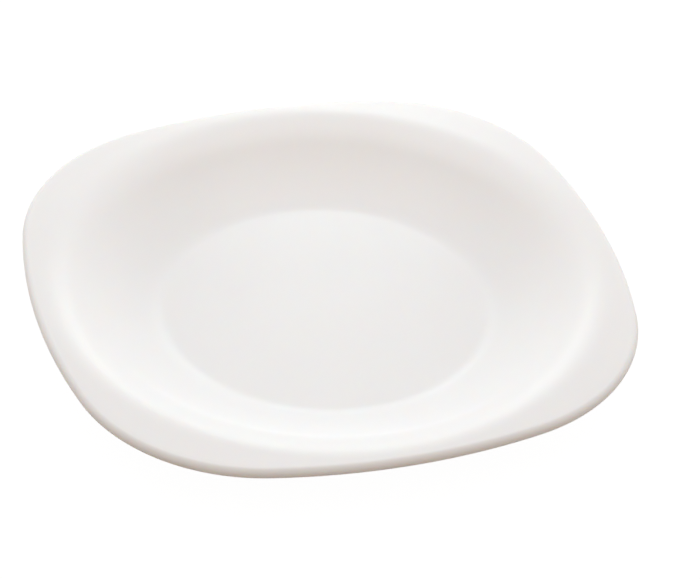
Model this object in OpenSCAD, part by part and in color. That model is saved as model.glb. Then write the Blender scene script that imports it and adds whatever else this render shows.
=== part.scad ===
// Soft-square dessert plate, pressed from opal glass in one piece.
// A round well and a round bowl sit inside a soft-square rim, with a low foot ring under the floor.
// Millimetres. The origin is the middle of the plane that the plate stands on, +Z is up,
// and the four sides face +X, +Y, -X and -Y.

/* [Outline] */
// Width across opposite sides
plate_w = 200; // [170:1:230]
// Radius of the long arc along each side
side_r = 215; // [150:5:400]
// Radius of the arc round each corner
corner_r = 65; // [45:1:85]

/* [Bowl] */
// Depth of the floor below the top of the rim
well_depth = 15; // [12:0.5:19]
// Width of the curved wall in plan, from the edge of the flat floor to the rim
wall_run = 43; // [37:1:52]
// Flat rim between the bowl and the lip at the middle of a side
rim_flat = 1; // [0.5:0.1:4]
// Radius of the hollow where the floor turns up into the wall
crease_r = 20; // [10:1:26]
// Slope of the wall just past that hollow, in degrees
crease_slope = 17; // [10:1:20]
// Radius of the shoulder that rolls the wall over into the rim
shoulder_r = 30; // [15:1:40]

/* [Glass] */
// Thickness of the floor, the wall and the rim
glass_t = 4; // [3:0.1:5]

/* [Foot ring] */
// Height of the foot ring below the floor's underside
foot_h = 1.5; // [1:0.1:3]
// Width of the flat face that the plate stands on
foot_w = 3; // [2:0.1:6]
// Distance from that face's outer edge out to the edge of the flat floor
foot_inset = 4; // [3:0.5:12]
// Radius of the foot ring's lower edges
foot_edge_r = 0.6; // [0.3:0.1:0.9]
// Radius of the hollow where the foot ring's sides run into the floor's underside
foot_root_r = 0.8; // [0.3:0.1:1.2]
// Lean of the foot ring's sides from upright, in degrees
foot_draft = 20; // [5:1:35]

/* [Hidden] */

glass = "#F1EFEE";

// The steps that stand for an arc: degrees along the bowl's and the foot's sections, and fragments in a full turn
bowl_step = 2.5;
foot_step = 14;
turn_fn = 180;
side_fn = 180;
corner_fn = 128;
lip_fn = 32;

half_w = plate_w / 2;
lip_r = glass_t / 2;
bowl_r = half_w - lip_r - rim_flat;
well_r = bowl_r - wall_run;

base_z = foot_h;
floor_z = base_z + glass_t;
rim_z = floor_z + well_depth;
lip_z = rim_z - lip_r;

// Side arcs and corner arcs meet in tangents, at this angle on either side of the middle of a side
side_sweep = 45 + asin((half_w - side_r) / (sqrt(2) * (side_r - corner_r)));
side_centre = half_w - side_r;
corner_centre = (side_r - corner_r) * sin(side_sweep);

// The wall is three tangent arcs: the crease, the hollow of the wall and the shoulder.
// The slope where the hollow meets the shoulder is found so that they climb by the depth of the well.
function hollow_r(slope) =
    (wall_run - crease_r * sin(crease_slope) - shoulder_r * sin(slope)) / (sin(slope) - sin(crease_slope));
function climb(slope) =
    crease_r * (1 - cos(crease_slope))
    + hollow_r(slope) * (cos(crease_slope) - cos(slope))
    + shoulder_r * (1 - cos(slope));
function slope_for(depth, low, high, tries) =
    let (mid = (low + high) / 2)
    tries == 0 ? mid
    : climb(mid) < depth ? slope_for(depth, mid, high, tries - 1)
    : slope_for(depth, low, mid, tries - 1);

shoulder_reach = (wall_run - crease_r * sin(crease_slope)) / shoulder_r;
steepest_possible = shoulder_reach < 1 ? asin(shoulder_reach) : 89;
wall_slope = slope_for(well_depth, crease_slope + 0.01, steepest_possible, 40);
wall_r = hollow_r(wall_slope);

crease_at = [well_r, floor_z + crease_r];
wall_at = crease_at + (wall_r - crease_r) * [-sin(crease_slope), cos(crease_slope)];
shoulder_at = [bowl_r, rim_z - shoulder_r];

// Points on an arc between two slopes, without its first point.
// A hollow has a positive radius, and a crown has a negative one.
function arc(centre, radius, from, to, step) =
    let (steps = ceil(abs(to - from) / step))
    [for (i = [1 : steps]) let (a = from + (to - from) * i / steps) centre + radius * [sin(a), -cos(a)]];

function reversed(list) = [for (i = [len(list) - 1 : -1 : 0]) list[i]];

// One face of the shell from the edge of the floor to the rim, the given distance below the face that holds the food
function shell_face(below) = concat(
    [[well_r, floor_z - below]],
    arc(crease_at, crease_r + below, 0, crease_slope, bowl_step),
    arc(wall_at, wall_r + below, crease_slope, wall_slope, bowl_step),
    arc(shoulder_at, below - shoulder_r, wall_slope, 0, bowl_step));

// One side of the foot ring, upwards from the edge of the face that it stands on: a round edge,
// a leaning side and a hollow that runs out level into the floor's underside
side_slope = 90 - foot_draft;
edge_end = foot_edge_r * [sin(side_slope), 1 - cos(side_slope)];
root_start_z = base_z - foot_root_r * (1 - cos(side_slope));
root_start = [edge_end.x + (root_start_z - edge_end.y) * tan(foot_draft), root_start_z];
root_at = [root_start.x + foot_root_r * sin(side_slope), base_z - foot_root_r];
foot_side = concat(
    [[0, 0]],
    arc([0, foot_edge_r], foot_edge_r, 0, side_slope, foot_step),
    [root_start],
    arc(root_at, -foot_root_r, side_slope, 0, foot_step));

foot_outer_r = well_r - foot_inset;
foot_inner_r = foot_outer_r - foot_w;
foot_face = concat(
    [for (p = reversed(foot_side)) [foot_outer_r + p.x, p.y]],
    [for (p = foot_side) [foot_inner_r - p.x, p.y]]);

// Floor, crease, wall and shoulder, with the foot ring under the floor
module bowl() {
    rotate_extrude($fn = turn_fn)
        polygon(concat(
            [[0, floor_z]],
            shell_face(0),
            reversed(shell_face(glass_t)),
            foot_face,
            [[0, base_z]]));
}

// The round lip along one arc of the outline, in two halves that meet on the X axis
module lip_arc(radius, sweep, fragments) {
    for (flip = [0, 1])
        mirror([0, flip, 0])
            rotate_extrude(angle = sweep, $fn = fragments)
                translate([radius - lip_r, 0])
                    circle(r = lip_r, $fn = lip_fn);
}

// Flat soft-square rim with a full round lip, open where the bowl joins it
module rim() {
    difference() {
        hull()
            for (turn = [0 : 90 : 270])
                rotate([0, 0, turn]) {
                    translate([side_centre, 0, lip_z])
                        lip_arc(side_r, side_sweep, side_fn);
                    translate([corner_centre, corner_centre, lip_z])
                        rotate([0, 0, 45])
                            lip_arc(corner_r, 45 - side_sweep, corner_fn);
                }
        translate([0, 0, lip_z])
            cylinder(r = bowl_r, h = 2 * glass_t, center = true, $fn = turn_fn);
    }
}

module plate() {
    color(glass)
        union() {
            bowl();
            rim();
        }
}

plate();
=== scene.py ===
"""Looks of a soft-square dessert plate, pressed in one piece from white opal glass.

The plate's whole surface is one Geometry Nodes tree, driven by the sizes that its solid was made with.
Round it stand a plain studio with a pale floor and soft lamps, and the photograph's camera.
"""

import logging
import math
from dataclasses import asdict, dataclass
from enum import Enum
from types import SimpleNamespace
from typing import Any

import bpy
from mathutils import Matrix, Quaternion, Vector


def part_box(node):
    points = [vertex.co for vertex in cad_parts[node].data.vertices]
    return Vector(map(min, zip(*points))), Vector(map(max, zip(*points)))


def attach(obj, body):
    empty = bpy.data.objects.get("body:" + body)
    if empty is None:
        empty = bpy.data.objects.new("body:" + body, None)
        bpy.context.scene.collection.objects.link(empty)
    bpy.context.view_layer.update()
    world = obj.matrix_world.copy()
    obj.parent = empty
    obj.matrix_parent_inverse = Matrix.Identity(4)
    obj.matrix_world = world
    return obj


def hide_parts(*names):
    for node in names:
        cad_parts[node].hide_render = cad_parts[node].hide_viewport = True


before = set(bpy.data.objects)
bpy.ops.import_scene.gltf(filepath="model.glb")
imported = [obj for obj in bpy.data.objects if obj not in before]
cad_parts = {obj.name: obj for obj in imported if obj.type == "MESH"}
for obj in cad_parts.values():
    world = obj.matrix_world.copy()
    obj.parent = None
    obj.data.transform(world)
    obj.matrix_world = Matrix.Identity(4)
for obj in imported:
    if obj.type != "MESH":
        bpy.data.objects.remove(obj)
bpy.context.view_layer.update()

LOG = logging.getLogger("dessert_plate")

MM = 0.001
TURN = 2 * math.pi
QUARTER = TURN / 4
EIGHTH = TURN / 8

# Azimuth of the lamps, on the far side of the plate from the camera
BEHIND = math.radians(162.7)

# Places of the colour sockets on a Mix node
MIX_SHARE = 0
MIX_FIRST = 6
MIX_SECOND = 7
MIX_RESULT = 2

Colour = tuple[float, float, float, float]
Settings = dict[str, Any]
Sockets = dict[str | int, Any]

WHITE: Colour = (1.0, 1.0, 1.0, 1.0)


class Value:
    """A number that flows through a node tree. Arithmetic on it adds Math nodes to the tree."""

    def __init__(self, net: "Net", socket: bpy.types.NodeSocket) -> None:
        """Wraps one output socket.

        Args:
            net: The tree that the socket is in.
            socket: The output socket that carries the number.
        """
        self.net = net
        self.socket = socket

    def maths(self, operation: str, *operands: "Value | float") -> "Value":
        """Adds one Math node.

        Args:
            operation: The Math node's operation.
            operands: Its values, in order.

        Returns:
            The result.
        """
        return self.net.value("ShaderNodeMath", {"operation": operation}, dict(enumerate(operands)))

    def __add__(self, other: "Value | float") -> "Value":
        """Self plus other."""
        return self.maths("ADD", self, other)

    def __radd__(self, other: float) -> "Value":
        """Other plus self."""
        return self.maths("ADD", other, self)

    def __sub__(self, other: "Value | float") -> "Value":
        """Self minus other."""
        return self.maths("SUBTRACT", self, other)

    def __rsub__(self, other: float) -> "Value":
        """Other minus self."""
        return self.maths("SUBTRACT", other, self)

    def __mul__(self, other: "Value | float") -> "Value":
        """Self times other."""
        return self.maths("MULTIPLY", self, other)

    def __rmul__(self, other: float) -> "Value":
        """Other times self."""
        return self.maths("MULTIPLY", other, self)

    def __truediv__(self, other: "Value | float") -> "Value":
        """Self divided by other."""
        return self.maths("DIVIDE", self, other)

    def __mod__(self, other: float) -> "Value":
        """Self modulo other, never negative."""
        return self.maths("FLOORED_MODULO", self, other)

    def __abs__(self) -> "Value":
        """Self without its sign."""
        return self.maths("ABSOLUTE", self)

    def sign(self) -> "Value":
        """Minus one, zero or one."""
        return self.maths("SIGN", self)

    def sin(self) -> "Value":
        """Sine of an angle in radians."""
        return self.maths("SINE", self)

    def cos(self) -> "Value":
        """Cosine of an angle in radians."""
        return self.maths("COSINE", self)

    def arcsin(self) -> "Value":
        """Angle in radians that has this sine."""
        return self.maths("ARCSINE", self)

    def angle_over(self, along: "Value") -> "Value":
        """Angle in radians of a point that is this far across and the given distance along."""
        return self.maths("ARCTAN2", self, along)

    def root(self) -> "Value":
        """Square root."""
        return self.maths("SQRT", self)

    def above(self, limit: "Value | float") -> "Value":
        """One where self is above the limit, otherwise zero."""
        return self.maths("GREATER_THAN", self, limit)

    def larger(self, other: "Value | float") -> "Value":
        """The larger of the two."""
        return self.maths("MAXIMUM", self, other)


Number = Value | float
Place = tuple[Number, Number]


def between(start: Number, end: Number, share: Number) -> Number:
    """The number that lies this share of the way from start to end."""
    return start + (end - start) * share


def direction(azimuth: float, elevation: float) -> Vector:
    """Direction from the plate to something that stands round it.

    Args:
        azimuth: Angle round the plate in radians, from -Y towards +X.
        elevation: Angle above the table in radians.

    Returns:
        A vector of length one.
    """
    level = math.cos(elevation)
    return Vector((math.sin(azimuth) * level, -math.cos(azimuth) * level, math.sin(elevation)))


class Net:
    """A node tree that is wired by calls."""

    def __init__(self, tree: bpy.types.NodeTree) -> None:
        """Starts from an empty tree.

        Args:
            tree: The tree to fill. What it holds is removed.
        """
        self.tree = tree
        self.tree.nodes.clear()

    def node(
        self, kind: str, settings: Settings | None = None, sockets: Sockets | None = None
    ) -> bpy.types.Node:
        """Adds one node.

        Args:
            kind: The node's type.
            settings: Its own settings, which are set before its sockets.
            sockets: Values or links for its inputs, by name or number.

        Returns:
            The node.
        """
        made = self.tree.nodes.new(kind)
        for name, setting in (settings or {}).items():
            setattr(made, name, setting)
        for key, given in (sockets or {}).items():
            self.feed(made.inputs[key], given)
        return made

    def feed(self, socket: bpy.types.NodeSocket, given: Any) -> None:
        """Links or sets one input.

        Args:
            socket: The input socket.
            given: A Value or an output socket to link, or a plain value to set.
        """
        if isinstance(given, Value):
            self.tree.links.new(given.socket, socket)
        elif isinstance(given, bpy.types.NodeSocket):
            self.tree.links.new(given, socket)
        else:
            socket.default_value = given

    def output(
        self, kind: str, settings: Settings | None = None, sockets: Sockets | None = None, name: str | int = 0
    ) -> bpy.types.NodeSocket:
        """Adds one node.

        Args:
            kind: The node's type.
            settings: Its own settings.
            sockets: Values or links for its inputs.
            name: The name or number of the output that is wanted.

        Returns:
            That output.
        """
        return self.node(kind, settings, sockets).outputs[name]

    def value(
        self, kind: str, settings: Settings | None = None, sockets: Sockets | None = None, name: str | int = 0
    ) -> Value:
        """Adds one node whose output is a number.

        Args:
            kind: The node's type.
            settings: Its own settings.
            sockets: Values or links for its inputs.
            name: The name or number of the output that is wanted.

        Returns:
            That output, ready for arithmetic.
        """
        return Value(self, self.output(kind, settings, sockets, name))

    def mixed(self, first: Colour, second: Colour, share: Value) -> bpy.types.NodeSocket:
        """Mixes two colours.

        Args:
            first: The colour where the share is 0.
            second: The colour where the share is 1.
            share: The share of the second colour.

        Returns:
            The mixed colour.
        """
        sockets = {MIX_SHARE: share, MIX_FIRST: first, MIX_SECOND: second}
        return self.output("ShaderNodeMix", {"data_type": "RGBA"}, sockets, MIX_RESULT)

    def seen_directly(self) -> Value:
        """Tells the rays that show a surface from those that only light it.

        Returns:
            One on rays from the camera and on rays that gloss or glass sends on, otherwise zero.
        """
        path = self.node("ShaderNodeLightPath")
        camera = Value(self, path.outputs["Is Camera Ray"])
        glossy = Value(self, path.outputs["Is Glossy Ray"])
        through = Value(self, path.outputs["Is Transmission Ray"])
        return camera.larger(glossy).larger(through)


@dataclass(frozen=True)
class OpalGlass:
    """White opal glass, pressed and fire-polished: milky, a little warm in places, and glossy.

    Attributes:
        name: The material's name.
        milk: The glass where it is whitest.
        cream: The glass where it is a little denser and warmer.
        cloud_size: Width of those milky clouds.
        cloud_detail: How many finer layers the clouds have.
        gloss: Roughness of the fire-polished surface.
        gloss_spread: How far the roughness strays either way.
        polish_size: Width of the patches in which it strays.
        polish_detail: How many finer layers the patches have.
        ripple_size: Width of the ripples that pressing leaves.
        ripple_height: Height of those ripples.
        ripple_detail: How many finer layers the ripples have.
        refraction: Refractive index.
        translucence: Share of the light that spreads inside the glass.
        spread: How far red, green and blue light spread inside it.
    """

    name: str = "pressed_opal_glass"
    milk: Colour = (0.88, 0.875, 0.868, 1.0)
    cream: Colour = (0.865, 0.855, 0.84, 1.0)
    cloud_size: float = 30 * MM
    cloud_detail: float = 3.0
    gloss: float = 0.31
    gloss_spread: float = 0.03
    polish_size: float = 15 * MM
    polish_detail: float = 4.0
    ripple_size: float = 14 * MM
    ripple_height: float = 0.02 * MM
    ripple_detail: float = 1.0
    refraction: float = 1.5
    translucence: float = 0.5
    spread: tuple[float, float, float] = (3.0 * MM, 2.2 * MM, 1.6 * MM)

    def material(self) -> bpy.types.Material:
        """Makes the material, with its patterns on the plate's own coordinates.

        Returns:
            The material.
        """
        made = bpy.data.materials.new(self.name)
        made.use_nodes = True
        net = Net(made.node_tree)
        place = net.output("ShaderNodeTexCoord", name="Object")
        clouds = self.pattern(net, place, self.cloud_size, self.cloud_detail)
        polish = self.pattern(net, place, self.polish_size, self.polish_detail)
        ripples = self.pattern(net, place, self.ripple_size, self.ripple_detail)
        bump = net.output("ShaderNodeBump", sockets={"Height": ripples, "Distance": self.ripple_height})
        glass = net.node(
            "ShaderNodeBsdfPrincipled",
            {"subsurface_method": "RANDOM_WALK"},
            {
                "Base Color": net.mixed(self.milk, self.cream, clouds),
                "Roughness": self.gloss + self.gloss_spread * (2 * polish - 1),
                "IOR": self.refraction,
                "Subsurface Weight": self.translucence,
                "Subsurface Radius": self.spread,
                "Subsurface Scale": 1.0,
                "Normal": bump,
            },
        )
        net.node("ShaderNodeOutputMaterial", sockets={"Surface": glass.outputs[0]})
        return made

    @staticmethod
    def pattern(net: Net, place: bpy.types.NodeSocket, size: float, detail: float) -> Value:
        """A pattern of soft patches of the given size, from 0 to 1, with so many finer layers."""
        sockets = {"Vector": place, "Scale": 1 / size, "Detail": detail}
        return net.value("ShaderNodeTexNoise", sockets=sockets)


@dataclass(frozen=True)
class PaleFloor:
    """A pale floor that the camera sees as white, with the plate's soft shadow on it.

    Attributes:
        name: The material's name.
        colour: The floor as it sends light back to the plate.
        glow: Whiteness that it has for the camera even in shadow.
        shadow: Colour of the light and shade that show on top of that.
    """

    name: str = "pale_floor"
    colour: Colour = (0.38, 0.28, 0.19, 1.0)
    glow: float = 0.97
    shadow: Colour = (0.08, 0.08, 0.08, 1.0)

    def material(self) -> bpy.types.Material:
        """Makes the material.

        Returns:
            The material.
        """
        made = bpy.data.materials.new(self.name)
        made.use_nodes = True
        net = Net(made.node_tree)
        plain = net.output("ShaderNodeBsdfDiffuse", sockets={"Color": self.colour})
        faint = net.output("ShaderNodeBsdfDiffuse", sockets={"Color": self.shadow})
        white = net.output("ShaderNodeEmission", sockets={"Strength": self.glow})
        shown = net.output("ShaderNodeAddShader", sockets={0: faint, 1: white})
        floor = net.output("ShaderNodeMixShader", sockets={"Fac": net.seen_directly(), 1: plain, 2: shown})
        net.node("ShaderNodeOutputMaterial", sockets={"Surface": floor})
        return made


@dataclass(frozen=True)
class Band:
    """A strip of the plate's surface that runs once round it.

    Attributes:
        rows: Rows of faces across the strip.
        out: Distance of its points from the plate's axis.
        up: Height of its points.
        aside: How far its points are moved round the plate, square to that distance.
    """

    rows: int
    out: Number
    up: Number
    aside: Number = 0.0


class PlateTree:
    """Geometry Nodes tree of the plate's surface: bands from the well's middle, over the lip, to the base."""

    COLUMNS = 400
    MERGE_DISTANCE = 0.004 * MM
    FINISH = "finish"

    # Rows of faces across the bands
    FLOOR_ROWS = 24
    CREASE_ROWS = 8
    WALL_ROWS = 20
    SHOULDER_ROWS = 20
    RIM_ROWS = 6
    LIP_ROWS = 20
    LOWER_SHOULDER_ROWS = 16
    LOWER_WALL_ROWS = 16
    LOWER_CREASE_ROWS = 6
    BASE_EDGE_ROWS = 2
    FOOT_ROOT_ROWS = 4
    FOOT_SIDE_ROWS = 2
    FOOT_EDGE_ROWS = 5
    FOOT_FACE_ROWS = 2
    BASE_ROWS = 20

    def __init__(self, names: list[str]) -> None:
        """Makes the whole tree.

        Args:
            names: The names of the plate's sizes. Each becomes a named input.
        """
        self.tree = bpy.data.node_groups.new("soft_square_plate", "GeometryNodeTree")
        self.net = Net(self.tree)
        self.group = self.net.node("NodeGroupInput")
        self.identifiers: dict[str, str] = {}
        sizes = {name: Value(self.net, self.add_input(name, "NodeSocketFloat")) for name in names}
        self.size = SimpleNamespace(**sizes)
        # Each band starts as a flat grid that runs from -0.5 to 0.5 both ways
        place = self.net.output("GeometryNodeInputPosition")
        split = self.net.node("ShaderNodeSeparateXYZ", sockets={"Vector": place})
        self.angle = TURN * (0.5 - Value(self.net, split.outputs["X"]))
        self.ahead = self.angle.cos()
        self.across = self.angle.sin()
        self.share = Value(self.net, split.outputs["Y"]) + 0.5
        self.work_out()
        self.join(self.bowl() + self.rim() + self.underside() + self.foot_and_base())

    def add_input(self, name: str, kind: str) -> bpy.types.NodeSocket:
        """Adds a named input to the tree.

        Args:
            name: The input's name.
            kind: Its socket type.

        Returns:
            The socket inside the tree.
        """
        made = self.tree.interface.new_socket(name=name, in_out="INPUT", socket_type=kind)
        self.identifiers[name] = made.identifier
        return next(socket for socket in self.group.outputs if socket.identifier == made.identifier)

    def work_out(self) -> None:
        """Works out the section's main radii, heights and arc centres from the sizes."""
        size = self.size
        self.lip_radius = size.glass_thickness / 2
        self.bowl_radius = size.width / 2 - self.lip_radius - size.rim_flat
        self.well_radius = self.bowl_radius - size.wall_run
        self.floor_up = size.foot_height + size.glass_thickness
        self.rim_up = self.floor_up + size.well_depth
        self.crease_at = (self.well_radius, self.floor_up + size.crease_radius)
        lift = size.wall_radius - size.crease_radius
        self.wall_at = (
            self.crease_at[0] - lift * size.crease_slope.sin(),
            self.crease_at[1] + lift * size.crease_slope.cos(),
        )
        self.shoulder_at = (self.bowl_radius, self.rim_up - size.shoulder_radius)

    def arc(self, rows: int, centre: Place, radius: Number, start: Number, end: Number) -> Band:
        """A band whose section is an arc.

        Args:
            rows: Rows of faces.
            centre: The arc's centre, out and up.
            radius: Its radius, positive for a hollow and negative for a crown.
            start: Its slope at the start.
            end: Its slope at the end.

        Returns:
            The band.
        """
        slope = between(start, end, self.share)
        return Band(rows, centre[0] + radius * slope.sin(), centre[1] - radius * slope.cos())

    def straight(self, rows: int, start: Place, end: Place) -> Band:
        """A band whose section is a straight line.

        Args:
            rows: Rows of faces.
            start: Where the line starts, out and up.
            end: Where it ends.

        Returns:
            The band.
        """
        return Band(rows, between(start[0], end[0], self.share), between(start[1], end[1], self.share))

    def bowl(self) -> list[Band]:
        """Makes the face that holds the food: flat floor, crease, wall and shoulder.

        Returns:
            Its bands, from the middle outwards.
        """
        size = self.size
        crown = 0.0 - size.shoulder_radius
        return [
            Band(self.FLOOR_ROWS, self.well_radius * self.share, self.floor_up),
            self.arc(self.CREASE_ROWS, self.crease_at, size.crease_radius, 0.0, size.crease_slope),
            self.arc(self.WALL_ROWS, self.wall_at, size.wall_radius, size.crease_slope, size.wall_slope),
            self.arc(self.SHOULDER_ROWS, self.shoulder_at, crown, size.wall_slope, 0.0),
        ]

    def rim(self) -> list[Band]:
        """Makes the flat rim, whose outline is tangent arcs for sides and corners, and its full round lip.

        Returns:
            Its bands, over the lip to the lower face.
        """
        size = self.size
        side_centre = size.width / 2 - size.side_radius
        apart = size.side_radius - size.corner_radius
        sweep = EIGHTH + (side_centre / (math.sqrt(2) * apart)).arcsin()
        corner_centre = math.sqrt(2) * apart * sweep.sin()
        side_lip = size.side_radius - self.lip_radius
        side_end = (side_lip * sweep.sin()).angle_over(side_centre + side_lip * sweep.cos())

        folded = (self.angle + EIGHTH) % QUARTER - EIGHTH
        turned = abs(folded)
        at_corner = turned.above(side_end)
        centre = between(side_centre, corner_centre, at_corner)
        radius = between(size.side_radius, size.corner_radius, at_corner) - self.lip_radius
        off_centre = turned - EIGHTH * at_corner
        aside = centre * off_centre.sin()
        reach = centre * off_centre.cos() + (radius * radius - aside * aside).root()
        facing = (reach * off_centre.sin()).angle_over(reach * off_centre.cos() - centre)
        lean = (facing - off_centre) * folded.sign()

        roll = QUARTER * (1 - 2 * self.share)
        bulge = self.lip_radius * roll.cos()
        lip_up = self.rim_up - self.lip_radius + self.lip_radius * roll.sin()
        lower_up = self.rim_up - size.glass_thickness
        return [
            Band(self.RIM_ROWS, between(self.bowl_radius, reach, self.share), self.rim_up),
            Band(self.LIP_ROWS, reach + bulge * lean.cos(), lip_up, bulge * lean.sin()),
            Band(self.RIM_ROWS, between(reach, self.bowl_radius, self.share), lower_up),
        ]

    def underside(self) -> list[Band]:
        """Makes the shoulder, wall and crease of the lower face, one thickness of glass below the upper one.

        Returns:
            Its bands, from the rim inwards.
        """
        size = self.size
        crown = size.glass_thickness - size.shoulder_radius
        hollow = size.glass_thickness + size.wall_radius
        turn = size.glass_thickness + size.crease_radius
        return [
            self.arc(self.LOWER_SHOULDER_ROWS, self.shoulder_at, crown, 0.0, size.wall_slope),
            self.arc(self.LOWER_WALL_ROWS, self.wall_at, hollow, size.wall_slope, size.crease_slope),
            self.arc(self.LOWER_CREASE_ROWS, self.crease_at, turn, size.crease_slope, 0.0),
        ]

    def foot_and_base(self) -> list[Band]:
        """Makes the base and its foot ring, which has leaning sides, round edges and a hollow at its root.

        Returns:
            Its bands, from the crease inwards.
        """
        size = self.size
        side_slope = QUARTER - size.foot_draft
        outer = self.well_radius - size.foot_inset
        inner = outer - size.foot_width
        edge_radius = size.foot_edge_radius
        edge_out = edge_radius * side_slope.sin()
        edge_up = edge_radius * (1 - side_slope.cos())
        root_up = size.foot_height - size.foot_root_radius
        side_up = root_up + size.foot_root_radius * side_slope.cos()
        side_out = edge_out + (side_up - edge_up) * size.foot_draft.sin() / size.foot_draft.cos()
        root_out = side_out + size.foot_root_radius * side_slope.sin()
        crown = 0.0 - size.foot_root_radius
        lean_in = 0.0 - side_slope
        base_up = size.foot_height
        return [
            self.straight(self.BASE_EDGE_ROWS, (self.well_radius, base_up), (outer + root_out, base_up)),
            self.arc(self.FOOT_ROOT_ROWS, (outer + root_out, root_up), crown, 0.0, side_slope),
            self.straight(self.FOOT_SIDE_ROWS, (outer + side_out, side_up), (outer + edge_out, edge_up)),
            self.arc(self.FOOT_EDGE_ROWS, (outer, edge_radius), edge_radius, side_slope, 0.0),
            self.straight(self.FOOT_FACE_ROWS, (outer, 0.0), (inner, 0.0)),
            self.arc(self.FOOT_EDGE_ROWS, (inner, edge_radius), edge_radius, 0.0, lean_in),
            self.straight(self.FOOT_SIDE_ROWS, (inner - edge_out, edge_up), (inner - side_out, side_up)),
            self.arc(self.FOOT_ROOT_ROWS, (inner - root_out, root_up), crown, lean_in, 0.0),
            self.straight(self.BASE_ROWS, (inner - root_out, base_up), (0.0, base_up)),
        ]

    def strip(self, band: Band) -> bpy.types.NodeSocket:
        """Makes one band's mesh, as a grid that is wrapped round the plate's axis.

        Args:
            band: The band.

        Returns:
            The socket of its mesh.
        """
        vertices = {"Vertices X": self.COLUMNS + 1, "Vertices Y": band.rows + 1}
        grid = self.net.output("GeometryNodeMeshGrid", sockets={"Size X": 1.0, "Size Y": 1.0} | vertices)
        x = band.out * self.ahead - band.aside * self.across
        y = band.out * self.across + band.aside * self.ahead
        place = self.net.output("ShaderNodeCombineXYZ", sockets={"X": x, "Y": y, "Z": band.up})
        return self.net.output("GeometryNodeSetPosition", sockets={"Geometry": grid, "Position": place})

    def join(self, bands: list[Band]) -> None:
        """Joins the bands into one closed, smooth surface with its finish.

        Args:
            bands: The bands, in order along the section.
        """
        joined = self.net.node("GeometryNodeJoinGeometry")
        for band in bands:
            self.tree.links.new(self.strip(band), joined.inputs["Geometry"])
        merging = {"Geometry": joined.outputs["Geometry"], "Distance": self.MERGE_DISTANCE}
        merged = self.net.output("GeometryNodeMergeByDistance", sockets=merging)
        smooth = self.net.output("GeometryNodeSetShadeSmooth", sockets={"Geometry": merged})
        whole = self.net.output("GeometryNodeRealizeInstances", sockets={"Geometry": smooth})
        finish = self.add_input(self.FINISH, "NodeSocketMaterial")
        dressed = self.net.output("GeometryNodeSetMaterial", sockets={"Geometry": whole, "Material": finish})
        self.tree.interface.new_socket(name="plate", in_out="OUTPUT", socket_type="NodeSocketGeometry")
        self.net.node("NodeGroupOutput", sockets={0: dressed})


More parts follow.
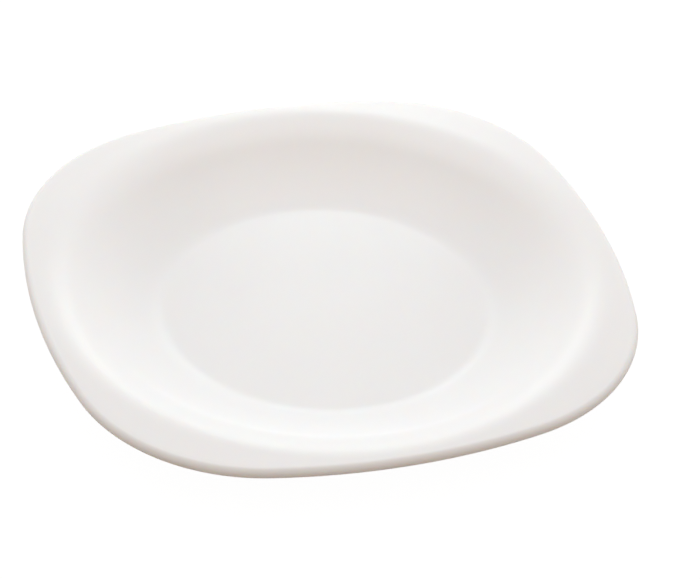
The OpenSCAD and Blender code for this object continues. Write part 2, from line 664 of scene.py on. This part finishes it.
@dataclass
class Plate:
    """The plate, one moulding, with its sizes in metres and radians.

    Attributes:
        width: Width across the sides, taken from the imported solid.
        height: Height from the table to the top of the rim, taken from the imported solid.
        side_radius: Radius of the outline's four long arcs.
        corner_radius: Radius of the outline's four corners.
        wall_run: Width of the wall in plan, from the flat floor to the flat rim.
        rim_flat: Width of the flat rim at the middle of a side, without its lip.
        crease_radius: Radius with which the floor turns up into the wall.
        crease_slope: Slope at which the crease meets the wall's hollow.
        shoulder_radius: Radius with which the wall turns over into the rim.
        glass_thickness: Thickness of the glass.
        foot_height: Height of the foot ring.
        foot_width: Width of the face that the foot ring stands on.
        foot_inset: How far that face lies in from the edge of the flat floor.
        foot_edge_radius: Radius of the edges of that face.
        foot_root_radius: Radius of the hollows where the foot ring meets the base.
        foot_draft: Lean of the foot ring's sides.
    """

    NAME = "dessert_plate"
    CAD_NODE = "plate"
    BODY = "root"
    SLOT = "opal_glass"

    # Search for the wall's slope
    HALVINGS = 40
    LEAST_RISE = math.radians(0.01)
    STEEPEST = math.radians(89)

    width: float
    height: float
    side_radius: float = 215 * MM
    corner_radius: float = 65 * MM
    wall_run: float = 43 * MM
    rim_flat: float = 1 * MM
    crease_radius: float = 20 * MM
    crease_slope: float = math.radians(17)
    shoulder_radius: float = 30 * MM
    glass_thickness: float = 4 * MM
    foot_height: float = 1.5 * MM
    foot_width: float = 3 * MM
    foot_inset: float = 4 * MM
    foot_edge_radius: float = 0.6 * MM
    foot_root_radius: float = 0.8 * MM
    foot_draft: float = math.radians(20)

    @classmethod
    def from_frame(cls) -> "Plate":
        """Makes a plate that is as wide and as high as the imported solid."""
        low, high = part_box(cls.CAD_NODE)
        return cls(width=high.x - low.x, height=high.z - low.z)

    @property
    def well_depth(self) -> float:
        """Depth of the floor below the top of the rim."""
        return self.height - self.foot_height - self.glass_thickness

    def wall_radius(self, slope: float) -> float:
        """Radius of the wall's hollow.

        Args:
            slope: The slope at which the hollow meets the shoulder.

        Returns:
            The radius with which crease, hollow and shoulder fill the wall's run.
        """
        crease = self.crease_radius * math.sin(self.crease_slope)
        shoulder = self.shoulder_radius * math.sin(slope)
        return (self.wall_run - crease - shoulder) / (math.sin(slope) - math.sin(self.crease_slope))

    def climb(self, slope: float) -> float:
        """Height that the wall gains.

        Args:
            slope: The slope at which the hollow meets the shoulder.

        Returns:
            The height from the floor to the rim.
        """
        crease = self.crease_radius * (1 - math.cos(self.crease_slope))
        hollow = self.wall_radius(slope) * (math.cos(self.crease_slope) - math.cos(slope))
        shoulder = self.shoulder_radius * (1 - math.cos(slope))
        return crease + hollow + shoulder

    def wall_slope(self) -> float:
        """Finds the slope at which the hollow meets the shoulder.

        Returns:
            The slope with which the wall climbs by the well's depth.
        """
        low = self.crease_slope + self.LEAST_RISE
        reach = (self.wall_run - self.crease_radius * math.sin(self.crease_slope)) / self.shoulder_radius
        high = math.asin(reach) if reach < 1 else self.STEEPEST
        for _ in range(self.HALVINGS):
            middle = (low + high) / 2
            if self.climb(middle) < self.well_depth:
                low = middle
            else:
                high = middle
        return (low + high) / 2

    def sizes(self) -> dict[str, float]:
        """Gathers the sizes that the tree takes, with those that follow from the others.

        Returns:
            The sizes by name.
        """
        slope = self.wall_slope()
        solved = {
            "well_depth": self.well_depth,
            "wall_slope": slope,
            "wall_radius": self.wall_radius(slope),
        }
        return asdict(self) | solved

    def build(self, finish: OpalGlass) -> bpy.types.Object:
        """Makes the plate's mesh.

        Args:
            finish: The glass.

        Returns:
            The plate, with its place in its mesh.
        """
        sizes = self.sizes()
        shape = PlateTree(list(sizes))
        piece = bpy.data.objects.new(self.NAME, bpy.data.meshes.new("empty_plate"))
        bpy.context.scene.collection.objects.link(piece)
        modifier = piece.modifiers.new("shape", "NODES")
        modifier.node_group = shape.tree
        for name, size in sizes.items():
            modifier[shape.identifiers[name]] = size
        modifier[shape.identifiers[PlateTree.FINISH]] = finish.material()
        evaluated = piece.evaluated_get(bpy.context.evaluated_depsgraph_get())
        mesh = bpy.data.meshes.new_from_object(evaluated)
        mesh.materials.pop(index=0)
        mesh.name = self.NAME
        piece.modifiers.remove(modifier)
        piece.data = mesh
        return piece

    def dress(self, piece: bpy.types.Object) -> None:
        """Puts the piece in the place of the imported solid.

        Args:
            piece: The plate.
        """
        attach(piece, self.BODY)
        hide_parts(self.CAD_NODE)
        LOG.info("%s: %d faces, stands for %s", piece.name, len(piece.data.polygons), self.CAD_NODE)


class LampForm(Enum):
    """Shapes of a soft lamp's face."""

    ROUND = "ELLIPSE"
    SQUARE = "RECTANGLE"


@dataclass(frozen=True)
class SoftLamp:
    """A soft lamp that faces the plate.

    Attributes:
        name: What it does.
        form: The shape of its face.
        azimuth: Where it stands round the plate, as the camera's azimuth is measured.
        elevation: Its angle above the table.
        distance: Its distance from the plate.
        width: Width of its face.
        height: Height of its face.
        power: Its power in watts.
        colour: Its light.
        in_reflections: Whether gloss shows it, or only its light on the plate counts.
    """

    name: str
    form: LampForm
    azimuth: float
    elevation: float
    distance: float
    width: float
    height: float
    power: float
    colour: tuple[float, float, float]
    in_reflections: bool = True

    def build(self) -> bpy.types.Object:
        """Makes the lamp.

        Returns:
            The lamp in its place.
        """
        light = bpy.data.lights.new(self.name, "AREA")
        light.shape = self.form.value
        light.size = self.width
        light.size_y = self.height
        light.energy = self.power
        light.color = self.colour
        lamp = bpy.data.objects.new(self.name, light)
        towards = direction(self.azimuth, self.elevation)
        lamp.location = towards * self.distance
        lamp.rotation_mode = "QUATERNION"
        lamp.rotation_quaternion = (-towards).to_track_quat("-Z", "Y")
        lamp.visible_glossy = self.in_reflections
        bpy.context.scene.collection.objects.link(lamp)
        LOG.info("%s lamp: %.2f W", self.name, self.power)
        return lamp


@dataclass(frozen=True)
class Viewpoint:
    """The photograph's camera.

    Attributes:
        azimuth: Where it stands round the point that it looks at.
        elevation: Its angle above the table.
        distance: Its distance from that point.
        roll: How far its right-hand side is tipped up.
        aim: The point that it looks at.
        lens: Focal length in millimetres, on a sensor of the given width.
        sensor: Width of the sensor in millimetres.
    """

    azimuth: float = math.radians(-17.84)
    elevation: float = math.radians(37.72)
    distance: float = 1.0943
    roll: float = math.radians(2.66)
    aim: tuple[float, float, float] = (5.64 * MM, -9.29 * MM, 18.5 * MM)
    lens: float = 167.06
    sensor: float = 36.0

    def build(self) -> bpy.types.Object:
        """Makes the camera and gives it to the scene.

        Returns:
            The camera.
        """
        optics = bpy.data.cameras.new("photo_camera")
        optics.lens = self.lens
        optics.sensor_width = self.sensor
        camera = bpy.data.objects.new("photo_camera", optics)
        back = direction(self.azimuth, self.elevation)
        level = (-back).to_track_quat("-Z", "Y")
        camera.location = Vector(self.aim) + back * self.distance
        camera.rotation_mode = "QUATERNION"
        camera.rotation_quaternion = level @ Quaternion((0.0, 0.0, 1.0), self.roll)
        bpy.context.scene.collection.objects.link(camera)
        bpy.context.scene.camera = camera
        return camera


@dataclass
class Studio:
    """Floor, surrounding light and lamps.

    Attributes:
        floor_half: Half the width of the floor.
        floor_gap: How far the floor lies below the foot ring, so that the two faces don't coincide.
        floor: The floor's finish.
        fill: The light that comes from all round.
        fill_strength: Its strength.
        lamps: The lamps.
    """

    floor_half: float = 3.0
    floor_gap: float = 0.02 * MM
    floor: PaleFloor = PaleFloor()
    fill: Colour = (1.0, 0.934, 0.895, 1.0)
    fill_strength: float = 0.684
    lamps: tuple[SoftLamp, ...] = (
        SoftLamp(
            name="low_backdrop",
            form=LampForm.SQUARE,
            azimuth=BEHIND,
            elevation=math.radians(9),
            distance=1.3,
            width=4.5,
            height=0.136,
            power=11.6,
            colour=(0.939, 1.0, 0.954),
            in_reflections=False,
        ),
        SoftLamp(
            name="high_backdrop",
            form=LampForm.SQUARE,
            azimuth=BEHIND,
            elevation=math.radians(31),
            distance=1.3,
            width=4.5,
            height=0.319,
            power=10.5,
            colour=(0.636, 0.804, 1.0),
            in_reflections=False,
        ),
        SoftLamp(
            name="overhead",
            form=LampForm.ROUND,
            azimuth=BEHIND,
            elevation=math.radians(73.3),
            distance=0.4176,
            width=0.28,
            height=0.28,
            power=0.241,
            colour=(0.992, 0.998, 1.0),
        ),
        SoftLamp(
            name="rear",
            form=LampForm.ROUND,
            azimuth=BEHIND,
            elevation=math.radians(29),
            distance=0.515,
            width=0.14,
            height=0.14,
            power=0.125,
            colour=(0.847, 1.0, 0.968),
        ),
    )

    def build(self) -> None:
        """Makes the floor, the surrounding light and the lamps."""
        self.build_floor()
        self.build_surroundings()
        for lamp in self.lamps:
            lamp.build()

    def build_floor(self) -> None:
        """Makes the floor, just under the foot ring."""
        half = self.floor_half
        corners = [(-half, -half), (half, -half), (half, half), (-half, half)]
        mesh = bpy.data.meshes.new("floor")
        mesh.from_pydata([(x, y, -self.floor_gap) for x, y in corners], [], [range(len(corners))])
        mesh.materials.append(self.floor.material())
        floor = bpy.data.objects.new("floor", mesh)
        bpy.context.scene.collection.objects.link(floor)
        LOG.info("floor: %.1f m wide", 2 * half)

    def build_surroundings(self) -> None:
        """Makes the surrounding light, which the camera and reflections see as white."""
        world = bpy.data.worlds.new("studio")
        world.use_nodes = True
        net = Net(world.node_tree)
        filling = {"Color": self.fill, "Strength": self.fill_strength}
        fill = net.output("ShaderNodeBackground", sockets=filling)
        white = net.output("ShaderNodeBackground", sockets={"Color": WHITE, "Strength": 1.0})
        shown = net.output("ShaderNodeMixShader", sockets={"Fac": net.seen_directly(), 1: fill, 2: white})
        net.node("ShaderNodeOutputWorld", sockets={"Surface": shown})
        bpy.context.scene.world = world


def main() -> None:
    """Builds the plate, the studio and the camera."""
    logging.basicConfig(level=logging.INFO, format="%(message)s")
    bpy.context.scene.view_settings.view_transform = "Standard"
    Viewpoint().build()
    plate = Plate.from_frame()
    piece = plate.build(OpalGlass())
    plate.dress(piece)
    Studio().build()


if __name__ == "__main__":
    main()
